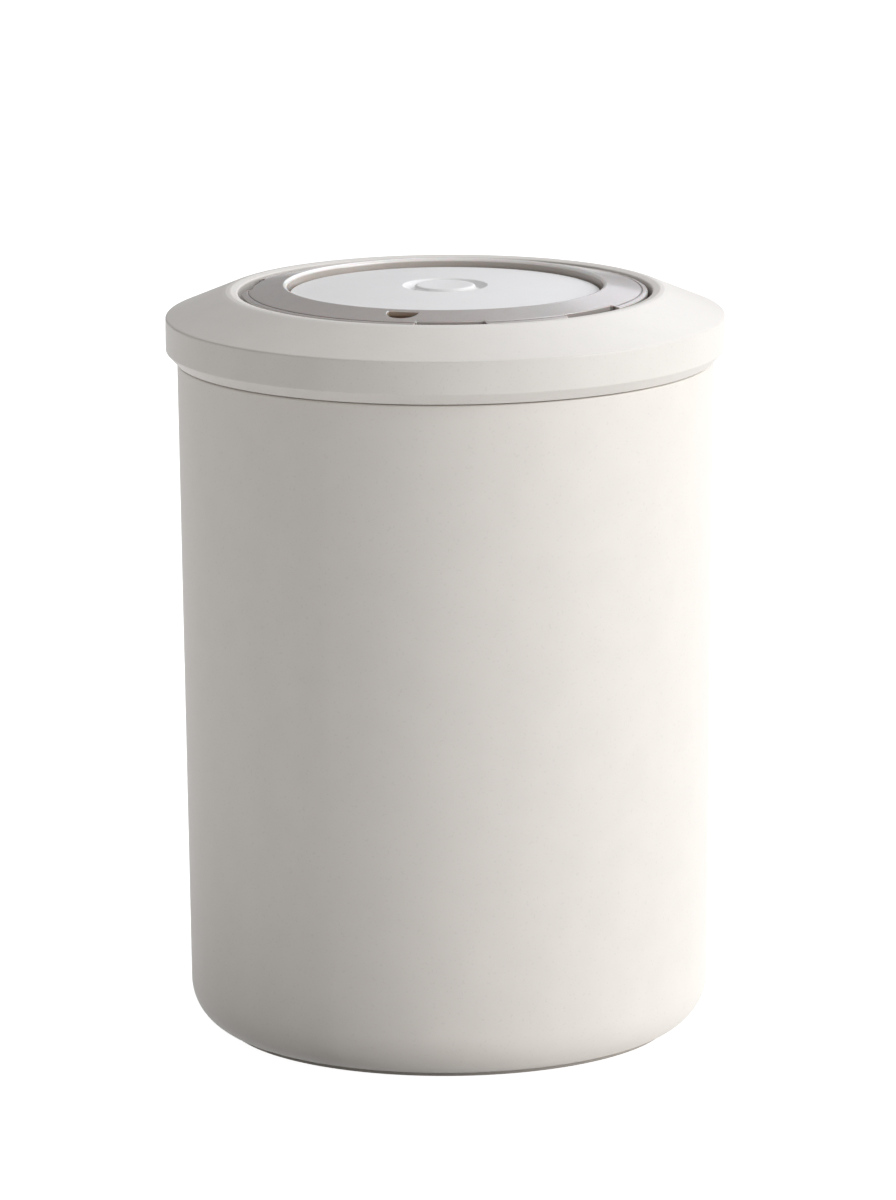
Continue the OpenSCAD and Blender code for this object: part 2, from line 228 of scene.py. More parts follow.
class Value:
    """One shader output that Python expressions can use: each operator adds a Math node."""

    def __init__(self, tree, socket):
        self.tree = tree
        self.socket = socket

    def math(self, operation, first, second):
        node = self.tree.node("ShaderNodeMath", {"operation": operation}, {0: first, 1: second})
        return node.out(0)

    def __add__(self, other):
        return self.math("ADD", self, other)

    def __radd__(self, other):
        return self.math("ADD", other, self)

    def __sub__(self, other):
        return self.math("SUBTRACT", self, other)

    def __rsub__(self, other):
        return self.math("SUBTRACT", other, self)

    def __mul__(self, other):
        return self.math("MULTIPLY", self, other)

    def __rmul__(self, other):
        return self.math("MULTIPLY", other, self)

    def __pow__(self, other):
        return self.math("POWER", self, other)

    def __gt__(self, other):
        return self.math("GREATER_THAN", self, other)


class Made:
    """A node just made, whose outputs are taken by name or number."""

    def __init__(self, tree, node):
        self.tree = tree
        self.node = node

    def out(self, key):
        return Value(self.tree, self.node.outputs[key])


class Finish:
    """Node tree of one material, with its Principled shader and the piece's own coordinates."""

    def __init__(self, name, colour, roughness, **fixed):
        self.material = bpy.data.materials.new(name)
        self.material.use_nodes = True
        self.nodes = self.material.node_tree.nodes
        self.links = self.material.node_tree.links
        self.shader = self.nodes["Principled BSDF"]
        self.colour = tuple(colour[:3]) + (1.0,)
        self.shader.inputs["Base Color"].default_value = self.colour
        self.shader.inputs["Roughness"].default_value = roughness
        for key, value in fixed.items():
            self.shader.inputs[key.replace("_", " ")].default_value = value
        self.material.diffuse_color = self.colour
        self.coords = self.node("ShaderNodeTexCoord").out("Object")

    def node(self, kind, settings=None, inputs=None):
        """Adds a node: its settings first, then the values or links of its sockets."""
        node = self.nodes.new(kind)
        for key, value in (settings or {}).items():
            setattr(node, key, value)
        for key, value in (inputs or {}).items():
            if isinstance(value, Value):
                self.links.new(value.socket, node.inputs[key])
            else:
                node.inputs[key].default_value = value
        return Made(self, node)

    def noise(self, size_mm, detail=2.0, roughness=0.5, where=None):
        """Noise from 0 to 1 whose largest features are about a given size."""
        inputs = {"Vector": where or self.coords, "Scale": 1 / (size_mm * MM),
                  "Detail": detail, "Roughness": roughness}
        return self.node("ShaderNodeTexNoise", None, inputs).out("Fac")

    def mix(self, share, first, second):
        """Colour between two colours. A Mix node has its colours in sockets 6, 7 and 2."""
        inputs = {0: share, 6: first, 7: second}
        return self.node("ShaderNodeMix", {"data_type": "RGBA"}, inputs).out(2)

    def ramp(self, value, start_mm, stop_mm):
        """0 where a length is at or before the first limit, rising evenly to 1 at the second."""
        inputs = {"Value": value, "From Min": start_mm * MM, "From Max": stop_mm * MM,
                  "To Min": 0.0, "To Max": 1.0}
        return self.node("ShaderNodeMapRange", None, inputs).out("Result")

    def shaded(self, factor):
        """The finish's own colour made darker or lighter by a factor."""
        return tuple(min(1.0, c * factor) for c in self.colour[:3]) + (1.0,)

    def bump(self, height, depth_mm, below=None):
        """Normal that a height from 0 to 1 gives, its full range being a given depth."""
        inputs = {"Height": height, "Distance": depth_mm * MM, "Strength": 1.0}
        if below is not None:
            inputs["Normal"] = below
        return self.node("ShaderNodeBump", None, inputs).out("Normal")

    def set(self, key, value):
        """Links a varying value to the shader."""
        self.links.new(value.socket, self.shader.inputs[key])

    def polar(self):
        """Distance from the axis and height of the point, in metres."""
        parts = self.node("ShaderNodeSeparateXYZ", None, {"Vector": self.coords})
        x, y, z = parts.out("X"), parts.out("Y"), parts.out("Z")
        return (x * x + y * y) ** 0.5, z


def grained_plastic(name, colour, roughness, grain_mm, depth_mm, fleck=0.05, **fixed):
    """Moulded plastic with an even fine grain, soft mottling and slightly uneven gloss."""
    f = Finish(name, colour, roughness, **fixed)
    mottle = f.noise(size_mm=9.0, detail=3.0)
    grain = f.noise(grain_mm, detail=2.0, roughness=0.6)
    wave = f.noise(size_mm=3.2, detail=1.0)
    tone = f.mix(mottle, f.shaded(1 - fleck), f.shaded(1 + fleck * 0.4))
    pits = f.noise(grain_mm * 1.7, detail=0.0) > 0.74
    f.set("Base Color", f.mix(pits * 0.25, tone, f.shaded(0.8)))
    f.set("Roughness", (grain - 0.5) * 0.16 + (mottle - 0.5) * 0.06 + roughness)
    f.set("Normal", f.bump(grain, depth_mm, f.bump(wave, depth_mm * 0.8)))
    return f.material


def brushed_steel(name, colour, roughness, streak_mm=0.12):
    """Turned steel: fine streaks that run round the axis, with a few deeper ones."""
    f = Finish(name, colour, roughness, Metallic=1.0)
    radius, height = f.polar()
    rings = f.node("ShaderNodeCombineXYZ", None, {"X": radius, "Y": height, "Z": 0.0}).out(0)
    streak = f.noise(streak_mm, detail=4.0, roughness=0.7, where=rings)
    broad = f.noise(size_mm=6.0)
    f.set("Base Color", f.mix(streak, f.shaded(0.86), f.shaded(1.08)))
    f.set("Roughness", (streak - 0.5) * 0.25 + (broad - 0.5) * 0.1 + roughness)
    f.set("Normal", f.bump(streak, depth_mm=0.006))
    return f.material


def soft_silicone(name, colour, roughness, clear=0.0):
    """Silicone rubber: dull, faintly cloudy, with a soft moulded skin."""
    f = Finish(name, colour, roughness, Subsurface_Weight=clear, Subsurface_Scale=2 * MM)
    cloud = f.noise(size_mm=2.5)
    skin = f.noise(size_mm=0.3, detail=1.0)
    f.set("Base Color", f.mix(cloud, f.shaded(0.9), f.shaded(1.06)))
    f.set("Roughness", (skin - 0.5) * 0.2 + roughness)
    f.set("Normal", f.bump(skin, depth_mm=0.01))
    return f.material


# Brown painted shade inside the date window
WINDOW_PAINTED_SHADE = (0.46, 0.35, 0.27, 1.0)
# Pale painted highlight along the ring's cut edges
EDGE_PAINTED_HIGHLIGHT = (0.88, 0.86, 0.83, 1.0)
# Pale painted highlight on the crest bead, and tan painted shade on the bore below it
BEAD_PAINTED_HIGHLIGHT = (0.88, 0.865, 0.84, 1.0)
BORE_PAINTED_SHADE = (0.47, 0.42, 0.38, 1.0)


def smoked_satin(name, colour, roughness, crest_mm, crest_r_mm, groove_mm, fall):
    """Frosted smoke plastic: cloudy and etched, with painted light laid into its colour.

    The depth of a point is how far it lies below the ring's cone, crest - fall * (r - crest_r).
    The window's walls are the deep part inside the groove, painted brown as shade; the shallow part
    along the cut edges is painted pale as a highlight. The crest bead is a painted highlight, the
    bore below it painted shade, and the fine groove is darkened as painted shade.
    """
    f = Finish(name, colour, roughness, Subsurface_Weight=0.25, Subsurface_Scale=1.2 * MM,
               Specular_IOR_Level=0.45, Coat_Weight=0.6, Coat_Roughness=0.12)
    radius, height = f.polar()
    cloud = f.noise(size_mm=5.0, detail=3.0)
    etch = f.noise(size_mm=0.32, detail=2.0, roughness=0.7)
    depth = (crest_mm + fall * crest_r_mm) * MM - radius * fall - height
    # Mask of the window's deep walls, which get the brown painted shade
    cut = f.ramp(depth, 0.12, 0.4) * f.ramp(radius, groove_mm - 1.6, groove_mm - 1.8)
    # Mask of the fine groove, darkened as painted shade
    groove = (f.ramp(radius, groove_mm - 0.4, groove_mm - 0.25)
              * f.ramp(radius, groove_mm + 0.4, groove_mm + 0.25))
    # Mask of the shallow cut edges, which get the pale painted highlight
    edge = f.ramp(depth, 0.03, 0.06) * f.ramp(depth, 0.2, 0.14) * (1 - groove)
    # Masks of the bore and its crest bead: painted highlight on the bead, painted shade below it
    inner = f.ramp(radius, crest_r_mm + 0.1, crest_r_mm - 0.2)
    bead = f.ramp(height, crest_mm - 0.85, crest_mm - 0.5)
    tone = f.mix(cloud, f.shaded(0.92), f.shaded(1.06))
    tone = f.mix(cut, tone, WINDOW_PAINTED_SHADE)
    tone = f.mix(edge, tone, EDGE_PAINTED_HIGHLIGHT)
    # Painted shade in the groove
    tone = f.mix(groove * f.ramp(depth, 0.02, 0.06), tone, f.shaded(0.5))
    f.set("Base Color", f.mix(inner, tone, f.mix(bead, BORE_PAINTED_SHADE, BEAD_PAINTED_HIGHLIGHT)))
    f.set("Roughness", (etch - 0.5) * 0.35 + roughness)
    f.set("Normal", f.bump(etch, depth_mm=0.03))
    return f.material


def printed_scale(name, colour, roughness, edge_colour, edge_mm):
    """Brown printed scale, turning to grey plastic outside its numbers."""
    f = Finish(name, colour, roughness)
    radius, _ = f.polar()
    speck = f.noise(size_mm=0.4, detail=2.0, roughness=0.6)
    cloud = f.noise(size_mm=6.0)
    brown = f.mix(cloud, f.shaded(0.9), f.shaded(1.1))
    f.set("Base Color", f.mix(f.ramp(radius, edge_mm, edge_mm + 0.2), brown, edge_colour))
    f.set("Roughness", (speck - 0.5) * 0.2 + roughness)
    f.set("Normal", f.bump(speck, depth_mm=0.01))
    return f.material


# Settings that a user would change


def length(name, description, millimetres, **more):
    """A length property whose default is given in millimetres."""
    return bpy.props.FloatProperty(name=name, description=description, subtype="DISTANCE",
                                   unit="LENGTH", default=millimetres * MM, precision=5, **more)


def paint(name, description, default):
    """A colour property."""
    return bpy.props.FloatVectorProperty(name=name, description=description, subtype="COLOR",
                                         size=3, min=0, max=1, default=default)


class CanisterBody(bpy.types.PropertyGroup):
    """Sizes of the outer shell and the liner."""

    base_round: length("Base rounding", "Radius of the rounded base edge", 10.8)
    base_radius: length("Base radius", "Radius of the body just above its base", 59.76)
    shell_wall: length("Shell wall", "Wall thickness of the outer shell", 2.2)
    neck_inset: length("Neck inset", "How far the neck stands in from the shoulder", 2.0)
    liner_wall: length("Liner wall", "Sheet thickness of the steel liner", 0.6)


class CanisterLid(bpy.types.PropertyGroup):
    """Sizes of the lid's cover."""

    band_low: length("Band foot", "Height of the band's lower edge above the lid's foot", 2.55)
    band_high: length("Band top", "Height of the band's upper edge above the lid's foot", 9.98)
    slope_radius: length("Slope radius", "Radius at which the slope meets the lip", 51.0)
    well_radius: length("Well radius", "Radius of the well that holds the ring", 47.4)
    edge_round: length("Edge rounding", "Rounding of the band's upper edge", 0.55)


class CanisterRing(bpy.types.PropertyGroup):
    """Sizes of the date ring and its cut-outs."""

    outer_radius: length("Ring radius", "Outer radius of the date ring", 46.3)
    crest_radius: length("Crest radius", "Radius of the ring's rolled crest", 37.05)
    crest_round: length("Crest rounding", "Radius of the crest's bead", 0.9)
    rise: length("Ring rise", "Height of the crest above the ring's edge", 1.8)
    groove: length("Groove", "Depth of the fine groove inside the ring's edge", 0.24)
    groove_radius: length("Groove radius", "Radius of that groove", 45.0)
    sheet: length("Ring sheet", "Thickness of the ring's coned sheet", 1.3)
    notch_radius: length("Notch radius", "Radius that the finger notches reach in to", 44.1)
    window_width: length("Window width", "Width of the date window", 7.1)
    window_depth: length("Window depth", "Depth of the date window along the radius", 4.3)
    window_turn: bpy.props.FloatProperty(
        name="Window turn", description="How far round from the front the window lies",
        subtype="ANGLE", unit="ROTATION", default=math.radians(-14.2))


class CanisterCap(bpy.types.PropertyGroup):
    """Sizes of the centre cap and the button."""

    dome: length("Dome", "Rise of the cap from its edge to its centre", 1.75)
    recess_radius: length("Recess radius", "Radius of the dished recess at its top", 9.7)
    recess_depth: length("Recess depth", "Depth of the dished recess", 1.35)
    button_radius: length("Button radius", "Radius of the vent button", 7.0)
    button_edge: length("Button edge", "Rounding of the button's edge", 0.7)


class CanisterColours(bpy.types.PropertyGroup):
    """Colours of the finishes."""

    shell: paint("Shell", "Warm white of the body", (0.845, 0.803, 0.752))
    lid: paint("Lid", "Warm white of the lid, a trace greyer", (0.815, 0.779, 0.733))
    cap: paint("Cap", "Neutral white of the cap and the button", (0.9, 0.89, 0.885))
    ring: paint("Ring", "Smoke tint of the date ring", (0.43, 0.39, 0.37))
    scale: paint("Scale", "Brown of the numbered scale", (0.2, 0.15, 0.11))
    numbers: paint("Numbers", "Print of the scale's numbers", (0.52, 0.45, 0.37))
    steel: paint("Steel", "Steel of the liner and the small parts", (0.72, 0.71, 0.7))
    inner: paint("Inner plastic", "Natural plastic of the plug and the valve", (0.78, 0.78, 0.75))
    pad: paint("Pad", "Warm grey silicone of the foot pad", (0.6, 0.555, 0.51))
    gasket: paint("Gasket", "Milky silicone of the lid's gasket", (0.72, 0.72, 0.7))
    seal: paint("Button seal", "Milky silicone of the button's seal", (0.7, 0.7, 0.68))
    o_ring: paint("O-ring", "Dark silicone of the housing's O-ring", (0.05, 0.05, 0.05))
    disc: paint("Degassing disc", "Amber silicone of the degassing disc", (0.62, 0.3, 0.16))


class CanisterSettings(bpy.types.PropertyGroup):
    """Everything that can be set on the canister."""

    body: bpy.props.PointerProperty(type=CanisterBody, name="Body", description="Body sizes")
    lid: bpy.props.PointerProperty(type=CanisterLid, name="Lid", description="Lid sizes")
    ring: bpy.props.PointerProperty(type=CanisterRing, name="Ring", description="Ring sizes")
    cap: bpy.props.PointerProperty(type=CanisterCap, name="Cap", description="Cap sizes")
    colours: bpy.props.PointerProperty(type=CanisterColours, name="Colours",
                                       description="Colours of the finishes")


def settings():
    """The canister's settings in the current scene."""
    return bpy.context.scene.canister


def in_mm(group, *names):
    """Length settings of a group, in millimetres."""
    return [getattr(group, n) / MM for n in names]


# Pieces


SEGMENTS = 256
BUTTON_SEGMENTS = 128

# Fixed sizes in millimetres: a name in _R is a radius, and one in _Z a height above the table
PAD_INNER_R = 43.0
NECK_HEIGHT = 5.4
SHELL_FLOOR = 3.4
LINER_OUTER_R = 57.0
HUB_R = 33.94
HUB_WALL = 2.34
RING_STEP_R = 37.0
STEM_TUBE_R = 14.6
SKIRT_IN_R, SKIRT_R = 56.6, 58.6
COVER_FOOT_R, COVER_IN_R = 59.75, 61.5
SLOPE_WALL = 2.57
SLOPE_FALL = 0.4167
CAP_BORE_R, CAP_TUBE_R = 7.08, 9.2
CAP_SKIRT_IN_R, CAP_SKIRT_R = 30.2, 31.5
CAP_RIM_Z = 170.2
CAP_WALL = 1.7
GASKET_BACK_R, GASKET_WEB_R = 53.85, 55.4


def shell_outline():
    """Outer shell from the centre of its underside, up the outside, over the neck and down."""
    base_round, base_r, wall, inset = in_mm(
        settings().body, "base_round", "base_radius", "shell_wall", "neck_inset")
    body_r, foot_r, foot_in_r = high("outer_shell", 0), high("foot_pad", 0), PAD_INNER_R
    bottom, neck_z = low("outer_shell"), high("outer_shell")
    shoulder, seat = neck_z - NECK_HEIGHT, high("foot_pad")
    neck_r = body_r - inset
    liner_r = base_r - wall - 0.35
    centre = (base_r - base_round, 0.4 + base_round)
    start = math.degrees(math.asin((bottom + 0.05 - centre[1]) / base_round))
    under = rounded([[0, bottom, 0], [foot_in_r, bottom, 0.15], [foot_in_r, seat, 0.1],
                     [foot_r, seat, 0.1], [foot_r, bottom, 0]])
    base = arc(centre, base_round, start, 0, 26)
    inside = rounded([[base_r, centre[1], 0], [body_r, shoulder, 0.4], [neck_r, shoulder, 0.25],
                      [neck_r, neck_z, 0.5], [liner_r, neck_z, 0.4], [liner_r, shoulder - 4, 2.0],
                      [body_r - wall, shoulder - 9, 3.0], [base_r - wall, SHELL_FLOOR, 7.8],
                      [0, SHELL_FLOOR, 0]])
    return np.vstack([under, base, inside[1:]])


def liner_outline():
    """Liner from the centre of its underside, up the outside, round its rim and down inside."""
    wall, = in_mm(settings().body, "liner_wall")
    rim_r, rim_z, floor = high("steel_liner", 0), high("steel_liner"), low("steel_liner")
    outer = LINER_OUTER_R
    return rounded([[0, floor, 0], [outer, floor, 7.0], [outer, rim_z - 0.7, 0.2],
                    [rim_r, rim_z - 0.7, 0.3], [rim_r, rim_z, 0.34],
                    [outer - wall, rim_z, 1.1], [outer - wall, floor + wall, 6.4],
                    [0, floor + wall, 0]])


def cover_outline():
    """Lid cover's closed section: outside, lip, well, hub, then back along the underside."""
    low_z, high_z, slope_r, well_r, edge = in_mm(
        settings().lid, "band_low", "band_high", "slope_radius", "well_radius", "edge_round")
    foot, lip, lid_r = low("lid_cover"), high("lid_cover"), high("lid_cover", 0)
    well = low("scale_ring")
    step, floor, under_floor, skirt_z = well + 1.15, well - 2.9, well - 2.2, foot + 7.3
    hub_in, hub_z, hub_foot = HUB_R - HUB_WALL, well + 2.2, well - 5.1
    under_r = well_r + 2.0
    under = slope_under
    return rounded([
        [COVER_FOOT_R, foot, 0.25], [61.7, foot, 0.35], [lid_r, foot + low_z, 0.45],
        [lid_r, foot + high_z, edge], [slope_r, lip - 0.37, 1.6], [well_r + 2.8, lip - 0.1, 1.0],
        [well_r + 1.75, lip + 0.02, 1.3], [well_r, lip - 0.33, 0.42],
        [well_r, well, 0.4], [RING_STEP_R, well, 0.2], [RING_STEP_R, step, 0.3],
        [HUB_R, step, 0.15], [HUB_R, hub_z, 0.15], [hub_in, hub_z, 0.15],
        [hub_in, floor, 0.5], [STEM_TUBE_R, floor, 0.3], [STEM_TUBE_R, hub_foot, 0.3],
        [HUB_R, hub_foot, 0.4], [HUB_R, under_floor, 0.5], [under_r, under_floor, 0.5],
        [under_r, under(under_r) - 1.2, 1.0], [SKIRT_IN_R, under(SKIRT_IN_R), 0.4],
        [SKIRT_IN_R, skirt_z, 0.2], [SKIRT_R, skirt_z, 0.2], [SKIRT_R, under(SKIRT_R), 0.4],
        [COVER_IN_R, under(COVER_IN_R), 0.8], [COVER_IN_R, foot + 4.1, 0.8],
        [COVER_FOOT_R, foot + low_z, 0.4],
    ], closed=True)


def slope_under(radius):
    """Height of the underside of the lid's slope at a radius, in millimetres."""
    slope_r, = in_mm(settings().lid, "slope_radius")
    return high("lid_cover") - SLOPE_WALL - (radius - slope_r) * SLOPE_FALL


def cap_outline():
    """Centre cap's closed section: recess and guide tube, dome, edge, skirt and underside."""
    dome, recess_r, depth = in_mm(settings().cap, "dome", "recess_radius", "recess_depth")
    cap_r, top, foot = high("centre_cap", 0), high("vent_button"), low("centre_cap")
    bore, rim, skirt_z = CAP_BORE_R, CAP_RIM_Z, CAP_RIM_Z - 2
    crown_r = (recess_r + 1.1, cap_r - 0.9)

    def height(r):
        return top - dome * (r / cap_r) ** 2

    def under(r):
        return height(r) - CAP_WALL

    r = np.linspace(*crown_r, 26)
    crown = np.stack([r, height(r)], axis=1)
    lip = rounded([[bore, foot, 0.15], [bore, top - depth, 0.22],
                   [recess_r - 1.6, top - depth, 0.7], [recess_r, height(recess_r), 0.55],
                   [crown_r[0], height(crown_r[0]), 0]])
    edge = rounded([[crown_r[1], height(crown_r[1]), 0], [cap_r, height(cap_r), 0.45],
                    [cap_r, rim, 0.15], [CAP_SKIRT_R, rim, 0.1], [CAP_SKIRT_R, skirt_z, 0.3],
                    [CAP_SKIRT_IN_R, skirt_z, 0.3], [CAP_SKIRT_IN_R, under(CAP_SKIRT_IN_R), 0.5],
                    [20, under(20), 0], [CAP_TUBE_R, under(CAP_TUBE_R), 0.6],
                    [CAP_TUBE_R, foot, 0.4], [bore, foot, 0]])
    return np.vstack([lip, crown[1:-1], edge[:-1]])


def button_outline():
    """Vent button from the centre of its web, round its skirt and over its dished top."""
    radius, edge = in_mm(settings().cap, "button_radius", "button_edge")
    top, foot = high("vent_button"), low("vent_button")
    web = top - 1.75
    socket, socket_in_r, socket_r, skirt_in_r = web - 2.4, 1.9, 2.7, radius - 1.2
    return rounded([[0, web - 0.02, 0], [socket_in_r, web, 0.1], [socket_in_r, socket, 0.15],
                    [socket_r, socket, 0.2], [socket_r, web, 0.3], [skirt_in_r, web, 0.4],
                    [skirt_in_r, foot, 0.2], [radius, foot, 0.2], [radius, top, edge],
                    [radius - 1.6, top - 0.02, 0.4], [radius - 3.4, top - 0.1, 2.0],
                    [0, top - 0.16, 0]])


def gasket_outline():
    """Gasket's closed section: a web with two lips."""
    z, tip = low("lid_gasket"), high("lid_gasket", 0)
    back, web = GASKET_BACK_R, GASKET_WEB_R
    return rounded([[back, z, 0.2], [web, z, 0.3], [web, z + 0.4, 0.15], [tip, z + 0.8, 0.12],
                    [web, z + 1.4, 0.2], [web, z + 2.0, 0.2], [tip, z + 2.4, 0.12],
                    [web, z + 3.0, 0.15], [web, z + 3.4, 0.3], [back, z + 3.4, 0.2]], closed=True)


# Date ring in millimetres and degrees: NOTCHES has where each notch starts and ends, and
# FINISH_FALL is the slope from which the ring's finish tells depths
WINDOW_FLAT_R = 38.1
WINDOW_CORNER = 0.45
WINDOW_SOFT = 0.22
WINDOW_BAND = (37.75, 43.0)
WINDOW_ROWS = 21
WINDOW_COLUMNS = 45
WINDOW_REACH = 6.6
NOTCHES = ((-8.6, 11.6), (37.0, 58.0), (-112.0, -91.0), (130.0, 172.0))
NOTCH_BLEND = 0.75
GROOVE_WIDTH = 0.13
RING_WALL_R, RING_FOOT_R = 37.5, 34.0
FINISH_FALL = 0.199


def ring_top():
    """Height of the date ring's top over a radius: a straight cone from the crest to the edge."""
    outer_r, crest_r, rise = in_mm(settings().ring, "outer_radius", "crest_radius", "rise")
    crest = high("date_ring")
    first_r, first_z = crest_r + 0.2, crest - 0.02
    fall = (first_z - crest + rise) / (outer_r - first_r)
    return lambda r: first_z - fall * (r - first_r)


def ring_section(groove):
    """Date ring's closed section: window band, grooved rim, underside, foot and crest bead.

    The groove is a narrow bell, depth * exp(-((r - middle) / width)^2), let into the top.
    """
    outer_r, crest_r, bead, middle, sheet = in_mm(
        settings().ring, "outer_radius", "crest_radius", "crest_round", "groove_radius", "sheet")
    foot, crest, top = low("date_ring"), high("date_ring"), ring_top()
    bore, wall, ledge = crest_r - bead, RING_WALL_R, RING_FOOT_R
    band = np.linspace(*WINDOW_BAND, WINDOW_ROWS)
    off = np.array([-1.5, -0.8, -0.35, -0.2, -0.12, -0.06, 0, 0.06, 0.12, 0.2, 0.35])
    cut = groove * np.exp(-(off / GROOVE_WIDTH) ** 2)
    rim = np.stack([middle + off, top(middle + off) - cut], axis=1)
    edge = rounded([[*rim[-1], 0], [outer_r, top(outer_r), 0.3],
                    [outer_r, top(outer_r) - sheet, 0.25], [band[-1], top(band[-1]) - sheet, 0]])
    inside = rounded([[band[0], top(band[0]) - sheet, 0], [wall, top(wall) - sheet, 0.1],
                      [wall, foot, 0.3], [ledge, foot, 0.15], [ledge, foot + 0.8, 0.15],
                      [bore, foot + 0.8, 0.12], [bore, crest - bead, 0]])
    crown = arc((crest_r, crest - bead), bead, 180, 77, 14)
    upper = np.stack([band, top(band)], axis=1)
    lower = upper[::-1] - [0, sheet]
    outside = np.vstack([upper, rim, edge[1:-1]])
    return np.vstack([outside, lower, inside[1:-1], crown]), len(outside)


def drawn_in(section, limit):
    """The section with its rim drawn in to a radius, heights kept relative to the ring's top."""
    outer_r, = in_mm(settings().ring, "outer_radius")
    first, top = WINDOW_BAND[1], ring_top()
    r, z = section.T
    near = np.where(r > first, first + (r - first) * (limit - first) / (outer_r - first), r)
    return np.stack([near, z + top(near) - top(r)], axis=1)


def notch_share(degrees):
    """How far the ring's edge is drawn in at an angle: 0 outside the notches, 1 inside them.

    At each end of a notch the share rises as t * t * (3 - 2 * t) over the blend's width.
    """
    share = np.zeros_like(degrees)
    for first, last in NOTCHES:
        middle, half = (first + last) / 2, (last - first) / 2
        off = np.abs((degrees - middle + 180) % 360 - 180)
        t = np.clip((half + NOTCH_BLEND / 2 - off) / NOTCH_BLEND, 0, 1)
        share = np.maximum(share, t * t * (3 - 2 * t))
    return share


def ring_angles(window_turn):
    """Angles of the ring's columns in degrees: even, and close together at the notches' ends."""
    even = np.arange(-180, 180, 1.5)
    ends = [e for notch in NOTCHES for e in notch]
    close = [e + np.linspace(-0.75, 0.75, 16) * NOTCH_BLEND for e in ends]
    reach = WINDOW_REACH
    window = np.linspace(window_turn - reach, window_turn + reach, WINDOW_COLUMNS)
    even = even[np.abs(even - window_turn) > reach + 0.3]
    angles = np.unique(np.round(np.concatenate([even, window, *close]), 4))
    fixed = np.isin(angles, np.round(window[[0, -1]], 4))
    keep = np.concatenate([[True], np.diff(angles) > 0.05]) | fixed
    return angles[keep]


def window_edge(width, depth):
    """Polar outline of the date window about its middle: distance over angle, 720 samples.

    A half disc of the window's width on a straight strip, its two flat corners rounded.
    """
    half, samples = width / 2, 720
    straight = half - depth / 2
    corners = rounded([[0, depth / 2, 0], [half, depth / 2, WINDOW_CORNER],
                       [half, straight, 0]])
    round_side = arc((0, straight), half, 0, -90, 40)
    right = np.vstack([corners, round_side[1:]])
    left = right[::-1] * [-1, 1]
    closed = np.vstack([right, left[1:]])
    run = np.concatenate([[0], np.cumsum(np.hypot(*np.diff(closed, axis=0).T))])
    at = np.arange(samples) * run[-1] / samples
    loop = np.stack([np.interp(at, run, closed[:, k]) for k in (0, 1)], axis=1)
    angle = np.arctan2(loop[:, 1], loop[:, 0])
    order = np.argsort(angle)
    return angle[order], np.hypot(loop[:, 0], loop[:, 1])[order]


